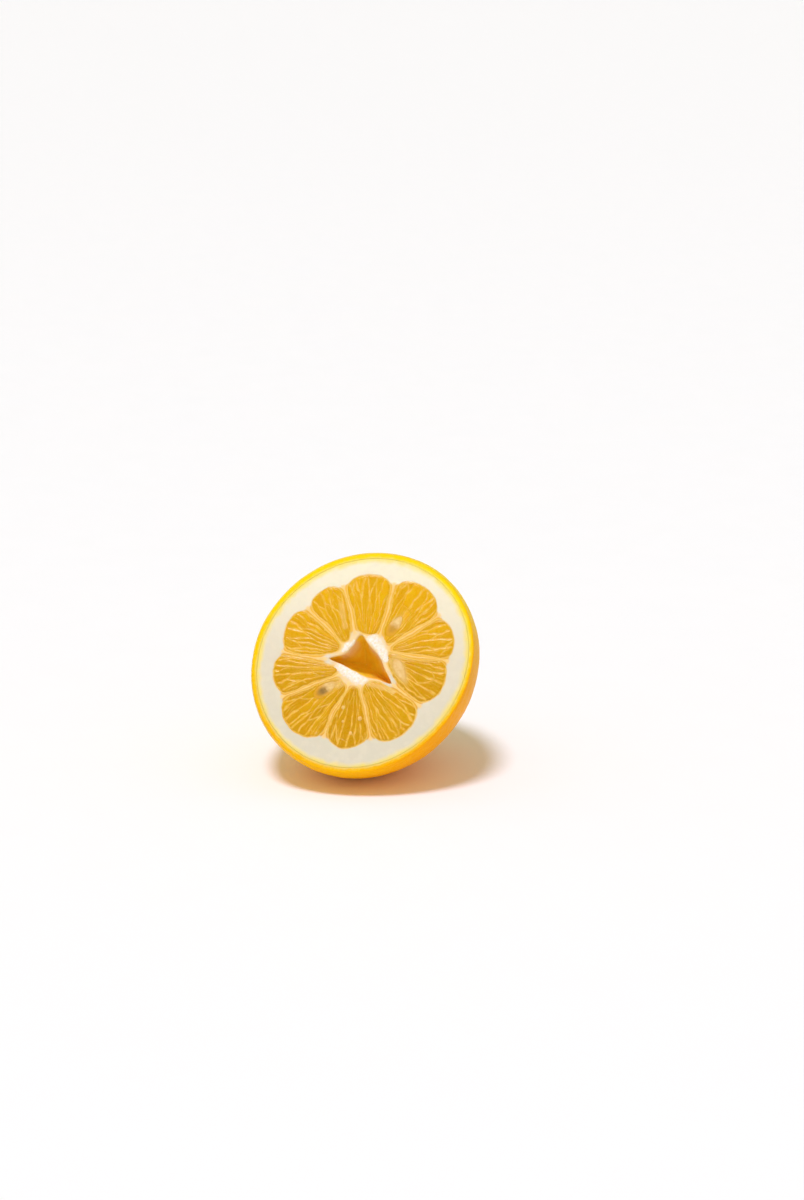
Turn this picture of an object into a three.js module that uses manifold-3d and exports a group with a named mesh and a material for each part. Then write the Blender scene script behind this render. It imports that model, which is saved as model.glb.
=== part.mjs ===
// Half a lemon, cut across its middle. It lies on its skin with the cut face to the front, tilted back.
//
// Millimetres, +Z up, and the front is -Y. The origin is under the middle of the half, on the surface
// that it lies on.
//
// The half has a frame of its own. There the cut lies in the plane z = 0, with +z pointing out of the
// cut, and x to the right and y up as the face is seen. The body runs back along -z to the nipple, and
// "depth" is the distance behind the cut. Angles on the face run anticlockwise from +x.

import * as THREE from "three";
import { mergeVertices } from "three/addons/utils/BufferGeometryUtils.js";
import Module from "manifold-3d";

const wasm = await Module();
wasm.setup();
const degrees = THREE.MathUtils.degToRad;

// ---------------------------------------------------------------- driving dimensions

// Body: an egg whose widest section lies a little behind the cut.
const WIDEST_RADIUS = 30.9;
const WIDEST_DEPTH = 10.5;
const FRONT_REACH = 36; // from the widest section, where the front half would close if it weren't cut
const BACK_REACH = 41; // from the widest section to the end of the egg

// The sections are a little oval and a little three-cornered. Both fade towards the nipple.
const OVAL = 0.055;
const OVAL_ANGLE = degrees(44);
const CORNERS = 0.006;
const CORNERS_ANGLE = degrees(33);
const FADE = 1.5;

// The fruit was cut a little askew, so its sections drift sideways behind the cut.
const DRIFT = 0.09; // mm for each mm of depth
const DRIFT_ANGLE = degrees(135);

// Nipple: a blunt knob on the end of the egg.
const NIPPLE_RADIUS = 5;
const NIPPLE_DEPTH = 48.5;
const NIPPLE_REACH = 7;
const NIPPLE_BLEND = 2.2; // a lower power gives a softer neck

// Layers
const SKIN = 1.35;
const GAP = 0.3; // between neighbouring pieces

// Segments: each shrinks towards the back as the egg does, and ends blunt.
const PULP_REACH = 34;
const PULP_DEPTHS = [0, 8, 20, 31, 39, 43];
const MEMBRANE_KEPT = 0.6; // what each side draws in, so that membranes don't thin out at the back
const CELL_ROWS = 5; // juice cells side by side across a segment
const CELL_HEIGHT = 0.55;
const CELL_WAVES = 1.6; // swellings along one row

// Hollow in the middle of the core
const HOLLOW_DEPTH = 12.5;

// How the half lies
const TILT_BACK = degrees(24.5);
const TURN = degrees(8); // the nipple points this much to the right of straight back
const FLAT_DEPTH = 0.6; // how much of the skin's roundness the flat spot takes

// Mesh fineness
const ROUND_STEPS = 40;
const ALONG_STEPS = 6; // along a segment, from tip to rim
const ACROSS_STEPS = 2 * CELL_ROWS;
const HOLLOW_STEPS = 28;
const SEED_STEPS = 12;

// Outlines of the ten segments on the cut face, clockwise from the top. Each lists, anticlockwise:
// tip, side, rim corner, two rim points, the other rim corner, side and tip.
const SEGMENTS = [
  [
    [3.2, 7.6], [5.3, 14.0], [6.2, 21.4], [3.6, 23.5],
    [-1.6, 23.3], [-5.2, 20.6], [-3.0, 13.4], [-1.6, 8.7],
  ],
  [
    [6.8, 5.2], [12.8, 9.0], [18.8, 13.2], [18.4, 18.2],
    [12.4, 22.2], [8.6, 21.0], [6.7, 13.0], [5.4, 7.8],
  ],
  [
    [8.0, 3.4], [14.5, 2.6], [22.8, 2.2], [24.4, 6.2],
    [22.8, 10.8], [19.9, 12.1], [13.5, 7.7], [8.3, 4.6],
  ],
  [
    [7.3, -0.6], [10.6, -6.0], [16.8, -10.2], [21.0, -7.8],
    [22.6, -3.0], [22.0, 0.6], [14.3, 1.1], [7.2, 2.4],
  ],
  [
    [0.6, -7.0], [2.4, -13.0], [4.4, -19.8], [8.4, -20.8],
    [14.0, -16.8], [15.2, -11.9], [9.6, -7.6], [2.8, -5.1],
  ],
  [
    [-2.4, -7.0], [-5.6, -12.4], [-8.0, -20.2], [-5.0, -23.2],
    [-0.8, -22.9], [2.4, -20.2], [0.9, -12.8], [-0.9, -7.2],
  ],
  [
    [-6.2, -4.9], [-12.6, -7.2], [-20.4, -11.4], [-20.0, -16.4],
    [-14.8, -20.6], [-9.8, -19.8], [-7.2, -13.2], [-4.0, -7.6],
  ],
  [
    [-6.6, -2.2], [-13.0, -0.3], [-22.4, 0.5], [-23.9, -2.8],
    [-23.2, -6.8], [-20.6, -9.2], [-13.4, -6.2], [-6.9, -3.4],
  ],
  [
    [-6.2, 4.2], [-11.2, 9.1], [-17.2, 13.1], [-20.6, 10.4],
    [-21.6, 6.6], [-21.0, 2.8], [-13.4, 1.3], [-6.6, 3.0],
  ],
  [
    [-4.0, 6.0], [-4.2, 12.0], [-6.6, 19.0], [-9.4, 20.0],
    [-13.2, 17.8], [-14.7, 14.3], [-9.6, 9.5], [-5.4, 5.2],
  ],
];

// Mouth of the hollow, between the tips of the segments.
const HOLLOW_MOUTH = [
  [8.1, -5.5], [6.1, -1.6], [4.7, 1.4], [1.6, 4.6], [-0.8, 7.3], [-2.7, 4.5],
  [-4.6, 2.2], [-8.8, 0.6], [-5.4, -0.9], [-2.2, -2.5], [1.4, -4.0], [4.8, -4.6],
];

// Seeds lie in the pulp and are cut through with it. "segment" counts as SEGMENTS does, from 1.
const SEEDS = [
  { segment: 2, centre: [8.2, 10.0], angle: degrees(56), half: [3.3, 1.5, 1.6], depth: 0.5 },
  { segment: 4, centre: [10.3, -1.9], angle: degrees(-62), half: [3.4, 1.4, 1.6], depth: 0.5 },
  { segment: 7, centre: [-9.6, -7.9], angle: degrees(35), half: [3.6, 1.6, 1.7], depth: 0.5 },
];

// ---------------------------------------------------------------- materials

const MATERIALS = {
  skin: new THREE.MeshStandardMaterial({ color: 0xf8c010, roughness: 0.38, metalness: 0 }),
  pith: new THREE.MeshStandardMaterial({ color: 0xf5ecd4, roughness: 0.75, metalness: 0 }),
  pulp: new THREE.MeshStandardMaterial({ color: 0xebb433, roughness: 0.25, metalness: 0 }),
  seed: new THREE.MeshStandardMaterial({ color: 0xdccb9c, roughness: 0.55, metalness: 0 }),
};

// ---------------------------------------------------------------- the body's surface

// How far the section at one depth reaches at one angle, as a share of its mean radius.
function sectionShape(depth, angle) {
  const end = WIDEST_DEPTH + BACK_REACH;
  const fade = Math.max(0, 1 - depth / end) ** FADE;
  const oval = OVAL * Math.cos(2 * (angle - OVAL_ANGLE));
  const corners = CORNERS * Math.cos(3 * (angle - CORNERS_ANGLE));
  return 1 + fade * (oval + corners);
}

// Mean radius of the egg at one depth, for the surface that lies "inset" below its skin.
function eggRadius(depth, inset) {
  const reach = (depth < WIDEST_DEPTH ? FRONT_REACH : BACK_REACH) - inset;
  const share = (depth - WIDEST_DEPTH) / reach;
  return (WIDEST_RADIUS - inset) * Math.sqrt(Math.max(0, 1 - share * share));
}

function nippleRadius(depth) {
  const share = (depth - NIPPLE_DEPTH) / NIPPLE_REACH;
  return NIPPLE_RADIUS * Math.sqrt(Math.max(0, 1 - share * share));
}

function bodyRadius(depth) {
  const sum = eggRadius(depth, 0) ** NIPPLE_BLEND + nippleRadius(depth) ** NIPPLE_BLEND;
  return sum ** (1 / NIPPLE_BLEND);
}

// Moves a point of the face back to its place in the section at "depth".
function atDepth(x, y, depth) {
  const drift = DRIFT * depth;
  const dx = drift * Math.cos(DRIFT_ANGLE);
  const dy = drift * Math.sin(DRIFT_ANGLE);
  return new THREE.Vector3(x + dx, y + dy, -depth);
}

// One round section of the body, as a ring of points.
function ring(depth, radius) {
  const points = [];
  for (let i = 0; i < ROUND_STEPS; i += 1) {
    const angle = (2 * Math.PI * i) / ROUND_STEPS;
    const reach = radius * sectionShape(depth, angle);
    points.push(atDepth(reach * Math.cos(angle), reach * Math.sin(angle), depth));
  }
  return points;
}

// Depths from the cut to the end of the surface that lies "inset" below the skin, closer together
// where it curves in. The last one is the end itself.
function eggDepths(steps, inset) {
  const start = Math.asin(-WIDEST_DEPTH / (FRONT_REACH - inset));
  const depths = [];
  for (let i = 0; i <= steps; i += 1) {
    const swing = THREE.MathUtils.lerp(start, Math.PI / 2, i / steps);
    const reach = swing < 0 ? FRONT_REACH : BACK_REACH;
    depths.push(WIDEST_DEPTH + (reach - inset) * Math.sin(swing));
  }
  depths[0] = 0;
  return depths;
}

// ---------------------------------------------------------------- meshes and solids

// A closed mesh through rings of points, given from front to back, with an end point on either side.
function loft(rings, first, last) {
  const count = rings[0].length;
  const points = rings.flat();
  const index = [];
  rings.slice(1).forEach((_, k) => {
    for (let i = 0; i < count; i += 1) {
      const a = k * count + i;
      const b = k * count + ((i + 1) % count);
      index.push(a, a + count, b + count, a, b + count, b);
    }
  });
  const end = points.length - count;
  for (let i = 0; i < count; i += 1) {
    const next = (i + 1) % count;
    index.push(points.length, i, next);
    index.push(points.length + 1, end + next, end + i);
  }
  return meshOf([...points, first, last], index);
}

function meshOf(points, index) {
  const geometry = new THREE.BufferGeometry().setFromPoints(points);
  geometry.setIndex(index);
  return geometry;
}

function middleOf(points) {
  const sum = points.reduce((total, point) => total.add(point), new THREE.Vector3());
  return sum.divideScalar(points.length);
}

function solidOf(geometry) {
  const bare = geometry.clone();
  bare.deleteAttribute("normal");
  bare.deleteAttribute("uv");
  const merged = mergeVertices(bare);
  const vertProperties = merged.attributes.position.array;
  const triVerts = new Uint32Array(merged.index.array);
  return new wasm.Manifold(new wasm.Mesh({ numProp: 3, vertProperties, triVerts }));
}

function geometryOf(solid) {
  const mesh = solid.getMesh();
  const geometry = new THREE.BufferGeometry();
  geometry.setAttribute("position", new THREE.BufferAttribute(mesh.vertProperties, 3));
  geometry.setIndex(new THREE.BufferAttribute(mesh.triVerts, 1));
  geometry.computeVertexNormals();
  return geometry;
}

// ---------------------------------------------------------------- skin

// A cup: its inside runs from the end to the cut, and its outside from the cut back to the nipple.
function skinSolid() {
  const inside = eggDepths(10, SKIN);
  const innerEnd = inside.pop();
  const inner = inside.map((depth) => ring(depth, eggRadius(depth, SKIN)));

  const neck = WIDEST_DEPTH + BACK_REACH;
  const tip = NIPPLE_DEPTH + NIPPLE_REACH;
  const outside = eggDepths(11, 0).slice(0, -1);
  const knob = [0, 0.35, 0.65, 0.86, 0.97].map((share) => THREE.MathUtils.lerp(neck, tip, share));
  const outer = [...outside, ...knob].map((depth) => ring(depth, bodyRadius(depth)));

  const rings = [...inner.reverse(), ...outer];
  return solidOf(loft(rings, atDepth(0, 0, innerEnd), atDepth(0, 0, tip)));
}

// ---------------------------------------------------------------- segments

// The closed outline of a segment on the face. It starts at the first tip point, and its points are
// spread so that both sides have ALONG_STEPS and the rim and the tip have ACROSS_STEPS.
function segmentLoop(outline) {
  const corners = outline.map(([x, y]) => new THREE.Vector3(x, y, 0));
  const curve = new THREE.CatmullRomCurve3(corners, true, "centripetal");
  const stretches = [
    { from: 0, to: 2, steps: ALONG_STEPS },
    { from: 2, to: 5, steps: ACROSS_STEPS },
    { from: 5, to: 7, steps: ALONG_STEPS },
    { from: 7, to: 8, steps: ACROSS_STEPS },
  ];
  return stretches.flatMap(({ from, to, steps }) =>
    Array.from({ length: steps }, (_, i) =>
      curve.getPoint(THREE.MathUtils.lerp(from, to, i / steps) / corners.length)),
  );
}

// The size of a segment's section at one depth, against the face.
function segmentScale(depth) {
  const reach = depth < WIDEST_DEPTH ? FRONT_REACH : PULP_REACH;
  const height = (at, span) => Math.sqrt(1 - ((at - WIDEST_DEPTH) / span) ** 2);
  return height(depth, reach) / height(0, FRONT_REACH);
}

// A segment's section at one depth, drawn in by "inset" on every side.
function segmentSection(loop, depth, inset) {
  const scale = segmentScale(depth);
  const draw = inset + MEMBRANE_KEPT * Math.max(0, 1 - scale);
  return loop.map((point, i) => {
    const before = loop[(i + loop.length - 1) % loop.length];
    const after = loop[(i + 1) % loop.length];
    const along = new THREE.Vector3().subVectors(after, before).normalize();
    const x = point.x * scale - along.y * draw;
    const y = point.y * scale + along.x * draw;
    return atDepth(x, y, depth);
  });
}

// The cut face of a segment: a patch spanned by the loop, with rows of juice cells that run from the
// rim to the tip. Its edge is the loop itself, so the walls join it.
function cutFace(loop, phase) {
  const total = loop.length;
  const farTip = 2 * ALONG_STEPS + ACROSS_STEPS;
  const points = [];
  for (let i = 0; i <= ALONG_STEPS; i += 1) {
    for (let j = 0; j <= ACROSS_STEPS; j += 1) {
      const s = i / ALONG_STEPS;
      const t = j / ACROSS_STEPS;
      const sides = loop[i].clone().lerp(loop[farTip - i], t);
      const ends = loop[(total - j) % total].clone().lerp(loop[ALONG_STEPS + j], s);
      const tips = loop[0].clone().lerp(loop[farTip], t);
      const rim = loop[ALONG_STEPS].clone().lerp(loop[ALONG_STEPS + ACROSS_STEPS], t);
      const point = sides.add(ends).sub(tips.lerp(rim, s));
      const row = Math.sin(Math.PI * CELL_ROWS * t) ** 2;
      const swelling = 0.7 + 0.3 * Math.cos(2 * Math.PI * (CELL_WAVES * s + phase + 0.37 * j));
      point.z = CELL_HEIGHT * row * swelling * Math.sqrt(Math.sin(Math.PI * s));
      points.push(point);
    }
  }
  return points;
}

function pulpGeometry(loop, phase) {
  const width = ACROSS_STEPS + 1;
  const face = cutFace(loop, phase);
  const index = [];
  for (let i = 0; i < ALONG_STEPS; i += 1) {
    for (let j = 0; j < ACROSS_STEPS; j += 1) {
      const a = i * width + j;
      index.push(a, a + width, a + width + 1, a, a + width + 1, a + 1);
    }
  }
  const rings = PULP_DEPTHS.map((depth) => segmentSection(loop, depth, 0));
  const first = face.length;
  const count = loop.length;
  rings.slice(1).forEach((_, k) => {
    for (let i = 0; i < count; i += 1) {
      const a = first + k * count + i;
      const b = first + k * count + ((i + 1) % count);
      index.push(a, a + count, b + count, a, b + count, b);
    }
  });
  const back = rings.at(-1);
  const end = first + (rings.length - 1) * count;
  const last = first + rings.length * count;
  for (let i = 0; i < count; i += 1) {
    index.push(last, end + ((i + 1) % count), end + i);
  }
  return meshOf([...face, ...rings.flat(), middleOf(back)], index);
}

// The room that the pith leaves for a segment, open at the cut.
function pocketSolid(loop) {
  const depths = [-1, ...PULP_DEPTHS.slice(1)];
  depths[depths.length - 1] += GAP;
  const rings = depths.map((depth) => segmentSection(loop, depth, -GAP));
  return solidOf(loft(rings, middleOf(rings[0]), middleOf(rings.at(-1))));
}

// ---------------------------------------------------------------- hollow

function hollowSolid() {
  const corners = HOLLOW_MOUTH.map(([x, y]) => new THREE.Vector3(x, y, 0));
  const curve = new THREE.CatmullRomCurve3(corners, true, "centripetal");
  const mouth = curve.getPoints(HOLLOW_STEPS).slice(0, HOLLOW_STEPS);
  const centre = middleOf(mouth);
  const rings = [-1 / HOLLOW_DEPTH, 0.3, 0.6, 0.85, 0.97].map((share) => {
    const scale = Math.sqrt(1 - Math.max(0, share) ** 2);
    return mouth.map((point) => {
      const near = centre.clone().lerp(point, scale);
      return atDepth(near.x, near.y, share * HOLLOW_DEPTH);
    });
  });
  return solidOf(loft(rings, middleOf(rings[0]), atDepth(centre.x, centre.y, HOLLOW_DEPTH)));
}

// ---------------------------------------------------------------- pith

// The white layer fills the skin. The segments' pockets and the hollow are cut out of it, and what
// stands between the pockets are the membranes.
function pithSolid(loops) {
  const depths = eggDepths(10, SKIN + GAP);
  const end = depths.pop();
  const rings = depths.map((depth) => ring(depth, eggRadius(depth, SKIN + GAP)));
  const whole = solidOf(loft(rings, atDepth(0, 0, 0), atDepth(0, 0, end)));
  const rooms = [...loops.map(pocketSolid), hollowSolid()];
  return rooms.reduce((solid, room) => solid.subtract(room), whole);
}

// ---------------------------------------------------------------- seeds

// A whole seed, made larger by "extra" on every side.
function seedSolid({ centre, angle, half, depth }, extra) {
  const geometry = new THREE.SphereGeometry(1, SEED_STEPS, SEED_STEPS / 2);
  geometry.rotateZ(Math.PI / 2); // the poles lie on the seed's long axis
  geometry.scale(half[0] + extra, half[1] + extra, half[2] + extra);
  geometry.rotateZ(angle);
  geometry.translate(centre[0], centre[1], -depth);
  return solidOf(geometry);
}

// Everything in front of the cut, as a block.
function frontBlock() {
  const side = 20;
  return solidOf(new THREE.BoxGeometry(4 * side, 4 * side, side).translate(0, 0, side / 2));
}

// ---------------------------------------------------------------- assembly

const lemon = new THREE.Group();
const turned = new THREE.Group();
const half = new THREE.Group();
lemon.add(turned);
turned.add(half);
half.rotation.x = Math.PI / 2 - TILT_BACK;
turned.rotation.z = -TURN;

function place(name, solid, material) {
  const mesh = new THREE.Mesh(geometryOf(solid), material);
  mesh.name = name;
  half.add(mesh);
}

// The block under the surface that the half lies on, in the half's own frame.
function groundBlock(skin) {
  lemon.updateMatrixWorld(true);
  const lying = geometryOf(skin).applyMatrix4(half.matrixWorld);
  lying.computeBoundingBox();
  const surface = lying.boundingBox.min.z + FLAT_DEPTH;
  const side = 40;
  const block = new THREE.BoxGeometry(4 * side, 4 * side, side).translate(0, 0, surface - side / 2);
  return solidOf(block.applyMatrix4(half.matrixWorld.clone().invert()));
}

const wholeSkin = skinSolid();
const loops = SEGMENTS.map(segmentLoop);
place("skin", wholeSkin.subtract(groundBlock(wholeSkin)), MATERIALS.skin);
place("pith", pithSolid(loops), MATERIALS.pith);

const front = frontBlock();
const golden = (Math.sqrt(5) - 1) / 2; // sets neighbouring segments' cells out of step
loops.forEach((loop, i) => {
  const seeds = SEEDS.filter(({ segment }) => segment === i + 1);
  const whole = solidOf(pulpGeometry(loop, golden * i));
  const pulp = seeds.reduce((solid, seed) => solid.subtract(seedSolid(seed, GAP)), whole);
  place(`pulp_${String(i + 1).padStart(2, "0")}`, pulp, MATERIALS.pulp);
});
SEEDS.forEach((seed, i) => {
  place(`seed_${i + 1}`, seedSolid(seed, 0).subtract(front), MATERIALS.seed);
});

// Set the flat spot on z = 0 and the middle of the half over the origin.
lemon.updateMatrixWorld(true);
const box = new THREE.Box3().setFromObject(turned, true);
const middle = box.getCenter(new THREE.Vector3());
turned.position.set(-middle.x, -middle.y, -box.min.z);

export default lemon;
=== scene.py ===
"""Half a lemon, cut across its middle. It lies on its skin with the cut face to the front, tilted back.

The half has a frame of its own, in millimetres: the cut lies in the plane z = 0, with z pointing out
of it, x to the right and y up as the face is seen. "Depth" is the distance behind the cut. Meshes are
worked out in that frame and placed in the object's frame, in metres, at the end.
"""

import itertools
import math

import bpy
import numpy as np
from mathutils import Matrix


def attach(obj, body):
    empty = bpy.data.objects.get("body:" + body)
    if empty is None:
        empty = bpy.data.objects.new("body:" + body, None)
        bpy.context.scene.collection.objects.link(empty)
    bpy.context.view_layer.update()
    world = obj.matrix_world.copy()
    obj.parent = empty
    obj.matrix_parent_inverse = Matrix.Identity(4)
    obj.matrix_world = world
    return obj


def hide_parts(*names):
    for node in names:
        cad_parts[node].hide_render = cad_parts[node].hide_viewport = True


MILLIMETRES = 1000  # in a metre

# ---------------- the body's sizes

# In millimetres. OVAL and CORNERS are shares of a section's radius, DRIFT is a share of its depth, and
# FADE and NIPPLE_BLEND are powers.
WIDEST_RADIUS = 30.9
WIDEST_DEPTH = 10.5
FRONT_REACH = 36.0
BACK_REACH = 41.0
OVAL = 0.055
OVAL_ANGLE = math.radians(44)
CORNERS = 0.006
CORNERS_ANGLE = math.radians(33)
FADE = 1.5
DRIFT = 0.09
DRIFT_ANGLE = math.radians(135)
NIPPLE_RADIUS = 5.0
NIPPLE_DEPTH = 48.5
NIPPLE_REACH = 7.0
NIPPLE_BLEND = 2.2
BODY_END = NIPPLE_DEPTH + NIPPLE_REACH
SKIN = 1.35
PULP_REACH = 34.0
MEMBRANE_KEPT = 0.6
PULP_DEPTHS = (1.0, 3.0, 8.0, 14.0, 23.0, 32.0, 38.0, 43.0)
HOLLOW_DEPTH = 12.5

# How the half lies
TILT_BACK = math.radians(24.5)
TURN = math.radians(8)
FACE_CENTRE = np.array((-0.000717, -0.019906, 0.034780))  # metres, in the object's frame

# Outlines of the ten segments on the cut face, clockwise from the top. Each lists, anticlockwise:
# tip, side, rim corner, two rim points, the other rim corner, side and tip.
SEGMENTS = [
    [(3.2, 7.6), (5.3, 14.0), (6.2, 21.4), (3.6, 23.5),
     (-1.6, 23.3), (-5.2, 20.6), (-3.0, 13.4), (-1.6, 8.7)],
    [(6.8, 5.2), (12.8, 9.0), (18.8, 13.2), (18.4, 18.2),
     (12.4, 22.2), (8.6, 21.0), (6.7, 13.0), (5.4, 7.8)],
    [(8.0, 3.4), (14.5, 2.6), (22.8, 2.2), (24.4, 6.2),
     (22.8, 10.8), (19.9, 12.1), (13.5, 7.7), (8.3, 4.6)],
    [(7.3, -0.6), (10.6, -6.0), (16.8, -10.2), (21.0, -7.8),
     (22.6, -3.0), (22.0, 0.6), (14.3, 1.1), (7.2, 2.4)],
    [(0.6, -7.0), (2.4, -13.0), (4.4, -19.8), (8.4, -20.8),
     (14.0, -16.8), (15.2, -11.9), (9.6, -7.6), (2.8, -5.1)],
    [(-2.4, -7.0), (-5.6, -12.4), (-8.0, -20.2), (-5.0, -23.2),
     (-0.8, -22.9), (2.4, -20.2), (0.9, -12.8), (-0.9, -7.2)],
    [(-6.2, -4.9), (-12.6, -7.2), (-20.4, -11.4), (-20.0, -16.4),
     (-14.8, -20.6), (-9.8, -19.8), (-7.2, -13.2), (-4.0, -7.6)],
    [(-6.6, -2.2), (-13.0, -0.3), (-22.4, 0.5), (-23.9, -2.8),
     (-23.2, -6.8), (-20.6, -9.2), (-13.4, -6.2), (-6.9, -3.4)],
    [(-6.2, 4.2), (-11.2, 9.1), (-17.2, 13.1), (-20.6, 10.4),
     (-21.6, 6.6), (-21.0, 2.8), (-13.4, 1.3), (-6.6, 3.0)],
    [(-4.0, 6.0), (-4.2, 12.0), (-6.6, 19.0), (-9.4, 20.0),
     (-13.2, 17.8), (-14.7, 14.3), (-9.6, 9.5), (-5.4, 5.2)],
]

HOLLOW_MOUTH = [
    (8.1, -5.5), (6.1, -1.6), (4.7, 1.4), (1.6, 4.6), (-0.8, 7.3), (-2.7, 4.5),
    (-4.6, 2.2), (-8.8, 0.6), (-5.4, -0.9), (-2.2, -2.5), (1.4, -4.0), (4.8, -4.6),
]

# Where the core is torn into white fluff: two ends of a streak on the face, and its half width
CORE_FLUFF = [
    ((-5.6, -1.7), (0.2, -5.1), 1.2),
    ((2.6, 6.3), (6.5, 1.3), 1.1),
    ((-5.2, 3.0), (-3.0, 5.4), 0.55),
]
CORE_REACH = 9.0

# Pale veils and a deep shade on the walls of the hollow: two ends of a streak and its half width
HOLLOW_VEILS = [((-5.0, 1.8), (-2.4, 4.2), 1.5), ((2.2, 4.4), (5.2, -0.4), 1.4)]
HOLLOW_SHADE = [((2.6, -3.4), (6.6, -4.6), 1.6)]

# Pale skins left on the pulp: the segment, two ends of a streak, its half width and its strength
FILMS = [
    (5, (2.4, -5.8), (8.8, -7.6), 0.8, 0.7),
    (10, (-6.6, 15.5), (-5.2, 9.5), 0.9, 0.5),
    (7, (-7.4, -6.4), (-5.6, -6.3), 1.1, 0.7),
    (4, (7.6, 0.4), (9.6, -2.6), 1.0, 0.6),
]

# Drops of juice on the pulp, painted pale as a painted highlight: the segment, the drop's middle and its
# radius
DROPS = [
    (6, (-4.3, -12.5), 0.55), (6, (0.4, -15.3), 0.65), (6, (-4.1, -16.3), 0.4), (6, (-1.9, -19.3), 0.5),
]

# Segments darker than the rest: how much of their lighter cells they keep
DARKER_CELLS = {4: 0.2, 6: 0.5}

# Seeds lie in the pulp and are cut through with it. "segment" counts as SEGMENTS does, from 1, and
# "half" lists half its length, width and thickness, and "dark" says how brown the kernel is.
SEEDS = [
    {"segment": 2, "centre": (8.2, 10.0), "angle": math.radians(56), "half": (3.3, 1.5, 1.6), "dark": 0.4},
    {"segment": 4, "centre": (10.3, -1.9), "angle": math.radians(-62), "half": (3.4, 1.4, 1.6), "dark": 0},
    {"segment": 7, "centre": (-9.6, -7.9), "angle": math.radians(35), "half": (3.6, 1.6, 1.7), "dark": 1},
]
SEED_TAPER = 0.28  # how much narrower than its half width a seed is at its pointed end

# ---------------- mesh fineness

SKIN_COLUMNS = 480
SKIN_ROWS = 183
SKIN_BACK_ROWS = 12
PITH_COLUMNS = 640
PITH_ROWS = 96
PITH_BACK_ROWS = 14
HOLLOW_ROWS = 36
PULP_ALONG = 150
PULP_ACROSS = 120
OUTLINE_POINTS = 160
OUTLINE_UNEVEN = 0.24
FINE_STEPS = 4000  # along the skin's profile, where it is measured before it is divided
MOUTH_STEPS = 400  # from one corner of the hollow's mouth to the next, where bearings are measured


# ---------------- small mathematics

TINY = 1e-9
HASH_PRIMES = (73856093, 19349663, 83492791)
HASH_START = 97
HASH_SEED_STEP = 2654435761
HASH_FACTOR = 0x2C1B3C6D2C1B3C6D
FLOAT_BITS = 53
NOISE_LAYERS = (1, 1 / 2, 1 / 4)  # their sizes and strengths


def smoothstep(low, high, value):
    """Rises smoothly from 0 where value is low to 1 where it is high; low may be above high."""
    share = np.clip((value - low) / (high - low), 0, 1)
    return share * share * (3 - 2 * share)


def hashed(cells, seed):
    """As many numbers from 0 to 1 as a whole-number cell has coordinates, the same every time."""
    whole = cells.astype(np.int64).astype(np.uint64)
    primes = HASH_PRIMES[: whole.shape[-1]]
    mixed = np.full(whole.shape[:-1], seed * HASH_SEED_STEP + HASH_START, np.uint64)
    for axis, prime in enumerate(primes):
        mixed ^= whole[..., axis] * np.uint64(prime)
    numbers = []
    for _ in primes:
        mixed = (mixed ^ (mixed >> np.uint64(15))) * np.uint64(HASH_FACTOR)
        mixed ^= mixed >> np.uint64(31)
        numbers.append((mixed >> np.uint64(64 - FLOAT_BITS)) / 2.0**FLOAT_BITS)
    return np.stack(numbers, axis=-1)


def noise(points, size, seed):
    """Smooth noise from -1 to 1 at 3-D points, with lumps about "size" across."""
    scaled = points / size
    cell = np.floor(scaled)
    share = smoothstep(0, 1, scaled - cell)
    total = 0
    for corner in itertools.product((0, 1), repeat=3):
        weight = np.prod(np.where(corner, share, 1 - share), axis=-1)
        total = total + weight * hashed(cell + corner, seed)[..., 0]
    return 2 * total - 1


def rough_noise(points, size, seed):
    """Noise from -1 to 1 in layers, the finer the weaker, with lumps up to "size" across."""
    layers = [share * noise(points, share * size, seed + k) for k, share in enumerate(NOISE_LAYERS)]
    return sum(layers) / sum(NOISE_LAYERS)


def scattered(points, seed):
    """Distance to the nearest of dots scattered one to a unit cell, and a number from 0 to 1 that
    belongs to that dot."""
    base = np.floor(points)
    nearest = np.full(points.shape[:-1], np.inf)
    label = np.zeros_like(nearest)
    for step in itertools.product((-1, 0, 1), repeat=points.shape[-1]):
        cell = base + step
        distance = np.linalg.norm(cell + hashed(cell, seed) - points, axis=-1)
        label = np.where(distance < nearest, hashed(cell, seed + 1)[..., 0], label)
        nearest = np.minimum(nearest, distance)
    return nearest, label


def cell_seams(points, size, seed):
    """Cells of the given size around dots scattered over a plane. Gives how far each 2-D point lies
    from the seam of its cell, how well that seam runs along the first axis, and the cell's number."""
    size = np.array(size)
    scaled = points / size
    base = np.floor(scaled)
    steps = list(itertools.product((-1, 0, 1), repeat=2))
    dots = np.stack([base + step + hashed(base + step, seed) for step in steps])
    labels = np.stack([hashed(base + step, seed + 1)[..., 0] for step in steps])
    squares = np.sum((dots - scaled) ** 2, axis=-1)
    own = np.argmin(squares, axis=0)[None]
    own_dot = np.take_along_axis(dots, own[..., None], axis=0)
    offset = np.abs(dots - own_dot) / size
    between = np.maximum(np.linalg.norm(offset, axis=-1), TINY)
    rise = squares - np.take_along_axis(squares, own, axis=0)
    gap = np.where(between > TINY, rise / (2 * between), np.inf)
    closest = np.argmin(gap, axis=0)[None]
    gap, lengthwise, label = (
        np.take_along_axis(numbers, which, axis=0)[0]
        for numbers, which in ((gap, closest), (offset[..., 1] / between, closest), (labels, own))
    )
    return gap, lengthwise, label


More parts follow.
